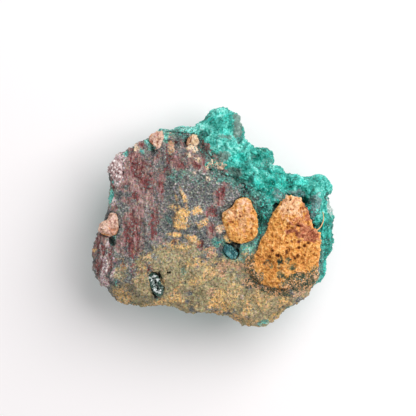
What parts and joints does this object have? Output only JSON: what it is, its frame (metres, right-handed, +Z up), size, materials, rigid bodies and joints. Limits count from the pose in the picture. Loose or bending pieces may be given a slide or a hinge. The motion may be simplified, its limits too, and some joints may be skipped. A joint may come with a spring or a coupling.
{
  "type": "dioptase and malachite specimen",
  "caption": "Palm-sized mineral specimen: a broken slab of red-brown and grey ore with earthy limonite nodules in its upper face, lying on a lumpy blue-green malachite and dioptase crust.",
  "frame": {"origin": "middle of the footprint's bounding box, on the surface that the specimen rests on", "axes": "+X to the right along the specimen's greatest width, +Y to the far side where the green crust is broadest, +Z up out of the broken ore face"},
  "size_m": [0.0838, 0.0754, 0.038],
  "materials": {
    "ore": "rough broken ore, dark red hematite, grey and olive-brown, dull",
    "malachite_dioptase": "lumpy blue-green malachite with a fine sparkling druse of dioptase",
    "limonite": "earthy, spongy, matt golden orange to peach",
    "quartz": "sparkling druse of small pale pink crystals",
    "dioptase_druse": "dark blue-green glassy crystals lining a pocket"
  },
  "bodies": {
    "root": {"ore_matrix": "ore", "malachite_dioptase_crust": "malachite_dioptase", "limonite_nodule_large": "limonite", "limonite_nodule_small": "limonite", "limonite_nodule_left": "limonite", "limonite_nodule_far_left": "limonite", "limonite_nodule_far": "limonite", "quartz_druse_left": "quartz", "vug_druse": "dioptase_druse", "teal_pocket_druse": "dioptase_druse"}
  },
  "joints": []
}
